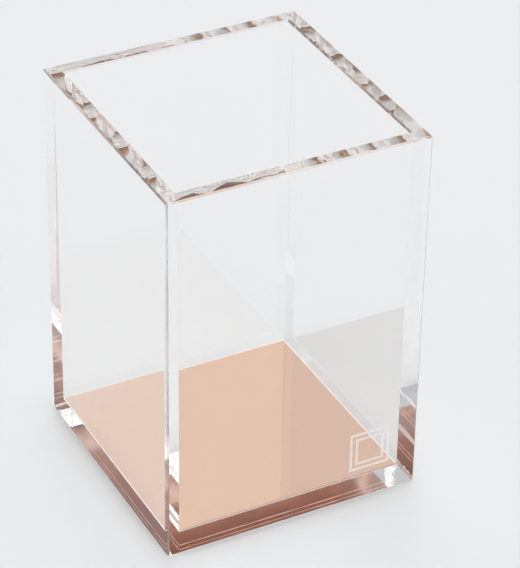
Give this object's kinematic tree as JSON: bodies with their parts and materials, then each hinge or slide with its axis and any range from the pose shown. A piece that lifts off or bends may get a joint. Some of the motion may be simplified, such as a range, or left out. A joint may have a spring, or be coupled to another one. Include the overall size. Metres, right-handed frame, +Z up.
{
  "type": "pen holder cup",
  "caption": "Square open-top desk cup with clear acrylic walls bonded round a rose-gold mirror floor, for pens, pencils and small tools.",
  "frame": {"origin": "centre of the resting face, under the base", "axes": "+Z up out of the open mouth, -Y out of the front face, +X to the right seen from the front"},
  "size_m": [0.08, 0.08, 0.1175],
  "materials": {
    "clear_acrylic": "polished, clear and colourless",
    "rose_gold_mirror": "rose-gold mirror film; its underside shows deep brown through the edges of the clear base"
  },
  "bodies": {
    "root": {"left_wall": "clear_acrylic", "right_wall": "clear_acrylic", "front_wall": "clear_acrylic", "back_wall": "clear_acrylic", "base_plate": "clear_acrylic", "mirror_film": "rose_gold_mirror"}
  },
  "joints": []
}
